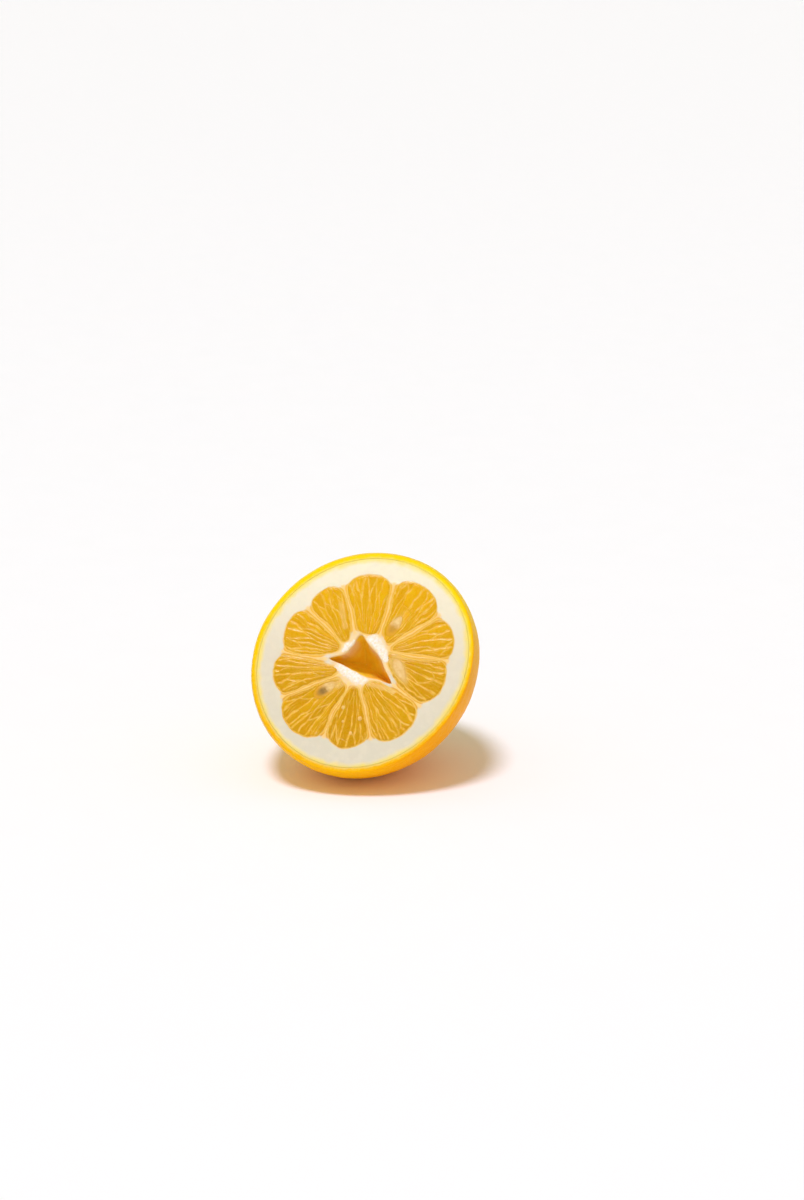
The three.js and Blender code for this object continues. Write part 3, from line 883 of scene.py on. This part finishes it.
NOISE_ROUGHNESS = 0.55
MIX_INPUTS = (0, 6, 7)  # of a node that mixes colours: the share and the two colours
MIX_OUTPUT = 2


class Nodes:
    """A material's node tree, with short ways to add the nodes that the materials here use."""

    def __init__(self, name):
        self.material = bpy.data.materials.new(name)
        self.material.use_nodes = True
        self.tree = self.material.node_tree
        self.shader = self.tree.nodes["Principled BSDF"]
        self.place = self.tree.nodes.new("ShaderNodeTexCoord").outputs["Object"]

    def link(self, output, socket):
        self.tree.links.new(output, socket)

    def feed(self, given, socket):
        """Gives a socket another node's output or a plain value."""
        if isinstance(given, bpy.types.NodeSocket):
            self.link(given, socket)
        else:
            socket.default_value = given

    def value(self, name):
        """One of the numbers that the mesh holds for each point."""
        node = self.tree.nodes.new("ShaderNodeAttribute")
        node.attribute_name = name
        return node.outputs["Fac"]

    def noise(self, size, detail=3.0):
        """Noise with lumps about "size" millimetres across."""
        node = self.tree.nodes.new("ShaderNodeTexNoise")
        node.inputs["Scale"].default_value = MILLIMETRES / size
        node.inputs["Detail"].default_value = detail
        node.inputs["Roughness"].default_value = NOISE_ROUGHNESS
        self.link(self.place, node.inputs["Vector"])
        return node.outputs["Fac"]

    def range(self, value, low, high, to_low=0.0, to_high=1.0):
        """A value carried smoothly from one range to another; low may be above high."""
        node = self.tree.nodes.new("ShaderNodeMapRange")
        node.interpolation_type = "SMOOTHSTEP"
        self.link(value, node.inputs["Value"])
        for key, number in (("From Min", low), ("From Max", high), ("To Min", to_low), ("To Max", to_high)):
            node.inputs[key].default_value = number
        return node.outputs["Result"]

    def mix(self, share, a, b):
        """Colour a turned into colour b by share; each may be a value or an output."""
        node = self.tree.nodes.new("ShaderNodeMix")
        node.data_type = "RGBA"
        for number, given in zip(MIX_INPUTS, (share, a, b)):
            self.feed(given, node.inputs[number])
        return node.outputs[MIX_OUTPUT]

    def bump(self, height, distance, strength):
        """Bumps "distance" millimetres high."""
        node = self.tree.nodes.new("ShaderNodeBump")
        node.inputs["Distance"].default_value = distance / MILLIMETRES
        node.inputs["Strength"].default_value = strength
        self.link(height, node.inputs["Height"])
        self.link(node.outputs["Normal"], self.shader.inputs["Normal"])

    def scatter(self, weight, scale, radius):
        """Light that spreads under the surface: how much of it, how far in millimetres, and the
        share of that way which red, green and blue go."""
        self.shader.inputs["Subsurface Weight"].default_value = weight
        self.shader.inputs["Subsurface Scale"].default_value = scale / MILLIMETRES
        self.shader.inputs["Subsurface Radius"].default_value = radius


# ---------------- materials

def skin_material():
    n = Nodes("lemon_skin")
    # Painted shade: the skin turns from lemon yellow at the top to a deeper orange towards the bottom, where
    # it lies in shade
    body = n.mix(n.range(n.value("height"), -28, 28), linear(248, 184, 0), linear(255, 218, 0))
    body = n.mix(n.range(n.noise(11), 0.35, 0.7, 0, 0.3), body, linear(255, 194, 0))
    # Painted shade: more orange to the right and below
    body = n.mix(n.value("warm"), body, linear(255, 166, 0))
    body = n.mix(n.range(n.value("gland"), 0.2, 1, 0, 0.25), body, linear(238, 156, 0))
    body = n.mix(n.range(n.noise(0.7), 0.55, 0.75, 0, 0.25), body, linear(255, 214, 60))
    body = n.mix(n.value("scar"), body, n.mix(n.noise(0.6), linear(150, 104, 40), linear(92, 66, 30)))
    # Painted shade: the cut rim and the pale band inside it are darker and more orange towards the bottom
    cut = n.mix(n.range(n.value("height"), -30, 30), linear(244, 182, 10), linear(255, 220, 0))
    cut = n.mix(n.range(n.noise(0.8), 0.4, 0.7, 0, 0.4), cut, linear(250, 214, 80))
    colour = n.mix(n.range(n.value("inset"), 0.05, 0.5), body, cut)
    pale = n.mix(n.range(n.value("height"), -30, 20), linear(238, 208, 116), linear(252, 228, 112))
    colour = n.mix(n.range(n.value("inset"), 0.5, 1.2, 0, 0.85), colour, pale)
    n.link(colour, n.shader.inputs["Base Color"])
    n.link(n.range(n.noise(0.5), 0.3, 0.7, 0.34, 0.48), n.shader.inputs["Roughness"])
    n.link(n.range(n.value("waxy"), 0, 1, 0.05, 0.35), n.shader.inputs["Specular IOR Level"])
    n.bump(n.noise(0.35, detail=4), 0.05, 0.4)
    n.scatter(0.2, 0.7, (1.0, 0.65, 0.12))
    return n.material


def pith_material():
    n = Nodes("lemon_pith")
    # Painted shade: the white layer is darker towards the bottom and lightest at the top
    low = n.mix(n.range(n.value("height"), -24, 4), linear(222, 214, 192), linear(229, 219, 196))
    white = n.mix(n.range(n.value("height"), -2, 28), low, linear(250, 240, 212))
    white = n.mix(n.range(n.noise(2.4, detail=5), 0.4, 0.7, 0, 0.35), white, linear(238, 228, 203))
    peach = n.mix(n.range(n.noise(1.6), 0.35, 0.65), linear(242, 184, 84), linear(248, 198, 108))
    peach = n.mix(n.range(n.value("core"), 0.2, 1, 0, 0.8), peach, linear(250, 222, 172))
    colour = n.mix(n.value("membrane"), white, peach)
    # Painted shade: pulp clinging to the membranes is darker towards the bottom
    pulpy = n.mix(n.range(n.value("height"), -22, 22), linear(222, 158, 0), linear(240, 180, 20))
    colour = n.mix(n.range(n.value("flesh"), 0, 1, 0, 0.85), colour, pulpy)
    colour = n.mix(n.range(n.value("thread"), 0, 1, 0, 0.8), colour, linear(252, 212, 134))
    colour = n.mix(n.range(n.value("near"), 0.45, 0.0, 0, 0.85), colour, linear(248, 200, 96))
    colour = n.mix(n.range(n.value("from_edge"), 1.7, 0.0, 0, 0.9), colour, linear(252, 224, 106))
    amber = n.mix(n.range(n.noise(4.0), 0.35, 0.65), linear(254, 228, 70), linear(250, 212, 44))
    amber = n.mix(n.value("shade"), amber, linear(246, 196, 60))
    colour = n.mix(n.range(n.value("down"), 0.2, 1.6), colour, amber)
    fluff = n.mix(n.range(n.noise(0.7), 0.4, 0.6), linear(250, 232, 206), linear(255, 247, 238))
    fluff = n.mix(n.range(n.value("down"), 0.3, 2.5), fluff, linear(244, 214, 188))
    colour = n.mix(n.value("fluff"), colour, fluff)
    n.link(colour, n.shader.inputs["Base Color"])
    n.link(n.range(n.noise(0.6), 0.3, 0.7, 0.5, 0.75), n.shader.inputs["Roughness"])
    n.shader.inputs["Specular IOR Level"].default_value = 0.25
    n.bump(n.noise(0.5, detail=6), 0.05, 0.4)
    n.scatter(0.3, 0.8, (1.0, 0.75, 0.45))
    return n.material


def pulp_material():
    n = Nodes("lemon_pulp")
    shade = n.range(n.value("height"), -22, 22)
    deep = n.mix(shade, linear(199, 146, 0), linear(224, 168, 0))
    bright = n.mix(shade, linear(216, 162, 0), linear(236, 181, 0))
    body = n.mix(n.value("tint"), deep, bright)
    body = n.mix(n.range(n.noise(3.0), 0.35, 0.65, 0, 0.2), body, linear(232, 160, 0))
    # Painted shade: the pulp is darker along the edge of its segment
    body = n.mix(n.range(n.value("inner"), 0.9, 0.1, 0, 0.2), body, linear(216, 148, 0))
    pale = n.mix(n.range(n.noise(1.2), 0.35, 0.65), linear(241, 186, 56), linear(248, 203, 102))
    colour = n.mix(n.range(n.value("wall"), 0.05, 0.95, 0, 0.85), body, pale)
    # Pale skins left on the pulp, and a painted highlight on the drops of juice
    colour = n.mix(n.range(n.value("film"), 0.0, 1.0, 0, 0.75), colour, linear(244, 206, 128))
    n.link(colour, n.shader.inputs["Base Color"])
    n.link(n.range(n.noise(0.7), 0.3, 0.7, 0.24, 0.4), n.shader.inputs["Roughness"])
    n.shader.inputs["Specular IOR Level"].default_value = 0.2
    n.bump(n.noise(0.45), 0.04, 0.35)
    n.scatter(0.35, 0.7, (1.0, 0.5, 0.12))
    n.shader.inputs["Coat Weight"].default_value = 0.06
    n.shader.inputs["Coat Roughness"].default_value = 0.15
    return n.material


def seed_material():
    n = Nodes("lemon_seed")
    coat = n.mix(n.noise(0.8), linear(222, 156, 6), linear(236, 174, 30))
    pale = n.mix(n.range(n.noise(1.0), 0.35, 0.7), linear(246, 214, 152), linear(234, 196, 124))
    colour = n.mix(n.value("pale"), coat, pale)
    colour = n.mix(n.value("dark"), colour, n.mix(n.noise(0.9), linear(112, 84, 34), linear(168, 130, 60)))
    n.link(colour, n.shader.inputs["Base Color"])
    n.link(n.range(n.noise(0.6), 0.3, 0.7, 0.3, 0.5), n.shader.inputs["Roughness"])
    n.bump(n.noise(0.3), 0.04, 0.4)
    n.scatter(0.3, 0.8, (1.0, 0.7, 0.4))
    return n.material


def floor_material():
    n = Nodes("studio_floor")
    n.link(n.mix(n.noise(40), linear(252, 253, 255), linear(254, 254, 255)), n.shader.inputs["Base Color"])
    n.link(n.range(n.noise(15), 0.3, 0.7, 0.5, 0.6), n.shader.inputs["Roughness"])
    n.shader.inputs["Specular IOR Level"].default_value = 0.05
    return n.material


# ---------------- stage

FLOOR_REACH = 300.0  # metres, as the top of the picture looks almost level along the floor

# The sky's colours, and the sines of the heights where the first ends and the second begins
HORIZON = (1.0, 0.975, 0.91, 1)
SKY = (0.50, 0.47, 0.35, 1)
HORIZON_TOP = 0.03
SKY_START = 0.12

LAMP_STRENGTH = 2.0
LAMP_WIDTH = math.radians(13)
LAMP_COLOUR = (0.91, 0.93, 1.12)
LAMP_TURN = (math.radians(20.5), math.radians(-10), 0)

# The lens in millimetres, and the camera's place in metres
LENS = 67.68
SENSOR_WIDTH = 36.0
CAMERA_PLACE = (0.00999, -0.59947, 0.20724)
CAMERA_TURN = (math.radians(75), 0, 0)


def make_floor():
    """One wide pale floor."""
    reach = FLOOR_REACH
    mesh = bpy.data.meshes.new("floor")
    corners = [(-reach, -reach, 0), (reach, -reach, 0), (reach, reach, 0), (-reach, reach, 0)]
    mesh.from_pydata(corners, [], [(0, 1, 2, 3)])
    mesh.materials.append(floor_material())
    floor = bpy.data.objects.new("floor", mesh)
    bpy.context.scene.collection.objects.link(floor)


def make_sky():
    """A studio sky, warm above, and paler and brighter near the horizon."""
    world = bpy.data.worlds.new("studio")
    world.use_nodes = True
    tree = world.node_tree
    background = tree.nodes["Background"]
    place = tree.nodes.new("ShaderNodeTexCoord")
    split = tree.nodes.new("ShaderNodeSeparateXYZ")
    ramp = tree.nodes.new("ShaderNodeValToRGB")
    stops = ((HORIZON_TOP, HORIZON), (SKY_START, SKY))
    for element, (position, colour) in zip(ramp.color_ramp.elements, stops):
        element.position = position
        element.color = colour
    tree.links.new(place.outputs["Generated"], split.inputs["Vector"])
    tree.links.new(split.outputs["Z"], ramp.inputs["Fac"])
    tree.links.new(ramp.outputs["Color"], background.inputs["Color"])
    bpy.context.scene.world = world


def make_lamp():
    """One wide soft lamp, high up, a little to the front and to the left."""
    sun = bpy.data.lights.new("softbox", "SUN")
    sun.energy = LAMP_STRENGTH
    sun.angle = LAMP_WIDTH
    sun.color = LAMP_COLOUR
    lamp = bpy.data.objects.new("softbox", sun)
    lamp.rotation_euler = LAMP_TURN
    bpy.context.scene.collection.objects.link(lamp)


def make_camera():
    """The camera, which has the photo's view of the half."""
    lens = bpy.data.cameras.new("camera")
    lens.lens = LENS
    lens.sensor_width = SENSOR_WIDTH
    lens.clip_start = 0.01
    lens.clip_end = 2000.0
    camera = bpy.data.objects.new("camera", lens)
    camera.location = CAMERA_PLACE
    camera.rotation_euler = CAMERA_TURN
    bpy.context.scene.collection.objects.link(camera)
    bpy.context.scene.camera = camera


def set_look():
    """Colours as they are, without a film look."""
    scene = bpy.context.scene
    scene.view_settings.view_transform = "Standard"
    scene.view_settings.look = "None"
    scene.cycles.use_denoising = True
    scene.cycles.diffuse_bounces = 8


# ---------------- the scene

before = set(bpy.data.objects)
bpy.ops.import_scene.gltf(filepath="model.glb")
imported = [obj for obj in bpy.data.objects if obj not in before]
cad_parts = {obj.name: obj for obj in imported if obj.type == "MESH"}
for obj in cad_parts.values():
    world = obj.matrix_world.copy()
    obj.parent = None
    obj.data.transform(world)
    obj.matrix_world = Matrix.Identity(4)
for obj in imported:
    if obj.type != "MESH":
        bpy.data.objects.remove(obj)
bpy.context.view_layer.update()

make_camera()
make_sky()
make_lamp()
make_floor()
set_look()

make_skin(skin_material())
make_pith(pith_material())
pulp = pulp_material()
for segment in range(1, len(SEGMENTS) + 1):
    make_pulp(segment, pulp)
seed_look = seed_material()
for seed_number in range(1, len(SEEDS) + 1):
    make_seed(seed_number, seed_look)
